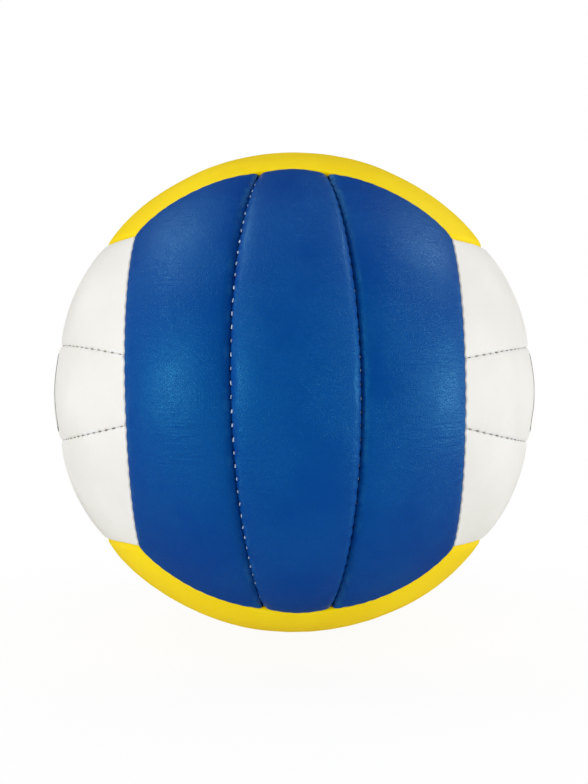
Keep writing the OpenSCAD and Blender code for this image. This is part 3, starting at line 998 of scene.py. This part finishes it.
framed_leather = white_leather.copy()
framed_leather.name = "white leather with frame"
tree, shader = find_shader(framed_leather)
plain = shader.inputs["Base Color"].links[0].from_socket
fill(tree, shader, Base_Color=blend(tree, frame_mask(tree), plain, srgb(58, 60, 66)))
print("frame: %.0f x %.1f mm" % (FRAME_LONG / MM, FRAME_WIDE / MM))

# %% Dress the strips
LEATHER_FINISH = {"blue": blue_leather, "white": white_leather, "yellow": yellow_leather}
for (face, part), thing in leathers.items():
    material = LEATHER_FINISH[LEATHER[face]]
    if material is white_leather and part == "middle":
        material = framed_leather
    thing.data.materials.append(material)
print("strips dressed:", len(leathers))

# %% [markdown]
# ## Thread
#
# Twisted polyester thread is a fine rope. A wave texture at a slant gives the twist, and a noise
# carries the dirt. The pale and the dark thread share the recipe.

# %% Thread recipe
def bands(tree, place, direction, scale, distortion=0.0):
    """A wave texture's value from 0 to 1, in bands across a direction."""
    return place_node(tree, "ShaderNodeTexWave", {"bands_direction": direction}, Vector=place,
                      Scale=scale, Distortion=distortion).outputs["Fac"]


def make_thread(name, clean, dirty, roughness):
    """Slanting waves are the twist, for the bump and the roughness. A noise mixes clean and
    dirty."""
    material, tree, shader = new_material(name)
    place = object_place(tree)
    twist = bands(tree, place, "DIAGONAL", 900.0, 2.0)
    dirt = between(tree, noise(tree, place, 140.0, 3.0), 0.4, 0.65)
    fill(tree, shader, Base_Color=blend(tree, dirt, srgb(*clean), srgb(*dirty)),
         Roughness=between(tree, twist, 0.0, 1.0, roughness, roughness + 0.1))
    bump(tree, shader, twist, 0.0001, 0.6)
    return material


pale_thread.data.materials.append(make_thread("pale thread", (196, 218, 244), (132, 158, 200), 0.7))
# The dark thread's colour is painted shade, for the shadow in the stitch holes.
dark_thread.data.materials.append(make_thread("dark thread", (168, 158, 140), (112, 101, 88), 0.8))
print("threads ready")

# %% [markdown]
# ## What lies under the leather
#
# The cloth, the bladder and the valve keep their CAD shapes, which are right as they are. Only
# their finishes change: plain woven cloth and dusty rubber, and open-cell foam for the pads.

# %% Foam, cloth and rubber
def make_foam():
    """Voronoi cells are the pores: their distance darkens the colour and sinks the bump."""
    material, tree, shader = new_material("pad foam")
    pores = place_node(tree, "ShaderNodeTexVoronoi", None, Vector=object_place(tree), Scale=1800.0)
    pores = pores.outputs["Distance"]
    colour = blend(tree, between(tree, pores, 0.1, 0.5), srgb(150, 146, 134), srgb(226, 223, 212))
    fill(tree, shader, Base_Color=colour, Roughness=0.95)
    bump(tree, shader, pores, 0.0003, 0.8)
    return material


def make_cloth():
    """The highest of three waves along X, Y and Z is the weave, for the colour and the bump."""
    material, tree, shader = new_material("backing cloth")
    place = object_place(tree)
    threads = [bands(tree, place, way, 420.0) for way in ("X", "Y", "Z")]
    weave = calc(tree, "MAXIMUM", threads[0], calc(tree, "MAXIMUM", threads[1], threads[2]))
    colour = blend(tree, weave, srgb(150, 145, 136), srgb(205, 201, 192))
    fill(tree, shader, Base_Color=colour, Roughness=0.9)
    bump(tree, shader, weave, 0.0002, 0.7)
    return material


def make_rubber(name, dark, dusty, roughness):
    """A noise lays dust on dark rubber, which also makes it rougher. A finer one is the bump."""
    material, tree, shader = new_material(name)
    place = object_place(tree)
    dust = noise(tree, place, 260.0, 5.0)
    fill(tree, shader,
         Base_Color=blend(tree, between(tree, dust, 0.45, 0.75), srgb(*dark), srgb(*dusty)),
         Roughness=between(tree, dust, 0.3, 0.7, roughness, roughness + 0.18))
    bump(tree, shader, noise(tree, place, 1500.0, 2.0), 0.0001, 0.5)
    return material


# Finishes by the last word of a node's name.
INNER_FINISH = {
    "foam": make_foam(), "cloth": make_cloth(),
    "bladder": make_rubber("bladder rubber", (38, 36, 36), (96, 92, 88), 0.6),
    "patch": make_rubber("patch rubber", (52, 50, 48), (104, 100, 94), 0.6),
    "stem": make_rubber("stem rubber", (30, 30, 31), (84, 82, 78), 0.5),
    "plug": make_rubber("plug rubber", (66, 64, 62), (112, 108, 102), 0.55)}
print("inner finishes:", len(INNER_FINISH))

# %% Dress the inner parts
for pad in pads:
    pad.data.materials.append(INNER_FINISH["foam"])
inner_nodes = {name: node for name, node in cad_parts.items() if name.split("_")[-1] in INNER_FINISH}
for name, node in inner_nodes.items():
    node.data.materials.clear()
    node.data.materials.append(INNER_FINISH[name.split("_")[-1]])
print("CAD nodes dressed:", len(inner_nodes))

# %% [markdown]
# ## The studio
#
# The photograph was taken straight on, with white paper all round. The patches of light on the
# blue give the lamps away: a low one at either side, and a higher one behind either shoulder of
# the ball. The camera stands 3.8 radii from the ball's centre, at its height. The paper is a floor
# under the ball and a white world behind it. Camera rays see both as plain white, and the floor
# keeps a faint shadow where the ball touches it. In a studio, dark cards out of view keep the
# paper from mirroring in the leather's edges. Here the world and the floor are dark for glossy
# rays instead. That works only if light rays find them by chance, so neither is sampled as a lamp.

# %% Camera
camera_data = bpy.data.cameras.new("camera")
camera_data.lens = 40.4
camera_data.sensor_width = 36.0
camera = add_object("camera", camera_data)
camera.location = (-0.00014, -0.403, 0.0002)
camera.rotation_euler = (math.pi / 2, 0, 0)
bpy.context.scene.camera = camera
print("camera at", [round(c, 4) for c in camera.location])

# %% Lamps
LAMP_AWAY, LAMP_WIDE = 1.0, 0.3           # metres from the ball's centre, and from side to side


def add_softbox(name, azimuth, elevation, power):
    """A square lamp that looks at the ball's centre. Azimuth 0 is where the camera stands, and
    positive is to its right."""
    a, e = math.radians(azimuth), math.radians(elevation)
    data = bpy.data.lights.new(name, "AREA")
    data.shape, data.size, data.size_y, data.energy = "RECTANGLE", LAMP_WIDE, LAMP_WIDE, power
    lamp = add_object(name, data)
    lamp.location = (LAMP_AWAY * math.cos(e) * math.sin(a), -LAMP_AWAY * math.cos(e) * math.cos(a),
                     LAMP_AWAY * math.sin(e))
    lamp.rotation_euler = (math.pi / 2 - e, 0, a)


add_softbox("left softbox", -50, 3, 2.4)
add_softbox("right softbox", 75, -2, 3.6)
add_softbox("left rear softbox", -88, 52, 1.5)
add_softbox("right rear softbox", 98, 46, 1.3)
print("lamps ready")

# %% World
WORLD_LIGHT, GLOSSY_LOSS = 0.70, 0.68     # strength of the world, and what glossy rays miss of it
world = bpy.data.worlds.new("white paper")
bpy.context.scene.world = world
world.use_nodes = True
world.cycles.sampling_method = "NONE"
tree = world.node_tree
tree.nodes.clear()
path = tree.nodes.new("ShaderNodeLightPath").outputs
level = calc(tree, "SUBTRACT", WORLD_LIGHT, calc(tree, "MULTIPLY", path["Is Glossy Ray"], GLOSSY_LOSS))
ambient = place_node(tree, "ShaderNodeBackground", None, Color=WHITE, Strength=level)
white = place_node(tree, "ShaderNodeBackground", None, Color=WHITE, Strength=1.0)
chosen = place_node(tree, "ShaderNodeMixShader", None, i0=path["Is Camera Ray"],
                    i1=ambient.outputs[0], i2=white.outputs[0])
fill(tree, tree.nodes.new("ShaderNodeOutputWorld"), Surface=chosen.outputs[0])
print("world strength:", WORLD_LIGHT)

# %% Floor
FLOOR_HALF, FLOOR_GAP = 4, 0.0005         # metres to the floor's edge, and from the ball down to it
SHADOW_FROM, SHADOW_TO = 0.13, 0.32       # the shadow ends between these distances from the centre
SHADOW_GLOW, FLOOR_GLOW = 0.93, 0.50     # white glow that camera rays see near the ball, and the floor's glow for diffuse rays, which lights the ball from below
floor_z = -BALL_R * MM - FLOOR_GAP
corners = [(x * FLOOR_HALF, y * FLOOR_HALF, floor_z) for x, y in ((-1, -1), (1, -1), (1, 1), (-1, 1))]
floor_mesh = bpy.data.meshes.new("floor")
floor_mesh.from_pydata(corners, [], [[0, 1, 2, 3]])
floor = add_object("floor", floor_mesh)
paper = bpy.data.materials.new("white paper")
paper.use_nodes = True
paper.cycles.emission_sampling = "NONE"
tree = paper.node_tree
tree.nodes.clear()
path = tree.nodes.new("ShaderNodeLightPath").outputs
tone = blend(tree, path["Is Glossy Ray"], (0.9, 0.9, 0.9, 1.0), (0.08, 0.08, 0.08, 1.0))
matt = place_node(tree, "ShaderNodeBsdfDiffuse", None, Color=tone)
glow = place_node(tree, "ShaderNodeEmission", None, Color=WHITE, Strength=1.0)
cleared = between(tree, length(tree, object_place(tree)), SHADOW_FROM, SHADOW_TO, SHADOW_GLOW, 1.0)
seen = calc(tree, "MULTIPLY", path["Is Camera Ray"], cleared)
# Diffuse rays see half of the floor glowing white: a glow, not a lamp, that lights the ball from below.
lit = calc(tree, "MULTIPLY", path["Is Diffuse Ray"], FLOOR_GLOW)
mixed = place_node(tree, "ShaderNodeMixShader", None, i0=calc(tree, "MAXIMUM", seen, lit),
                   i1=matt.outputs[0], i2=glow.outputs[0])
fill(tree, tree.nodes.new("ShaderNodeOutputMaterial"), Surface=mixed.outputs[0])
floor_mesh.materials.append(paper)
bpy.context.scene.view_settings.view_transform = "Standard"
print("floor at %.4f m" % floor_z)
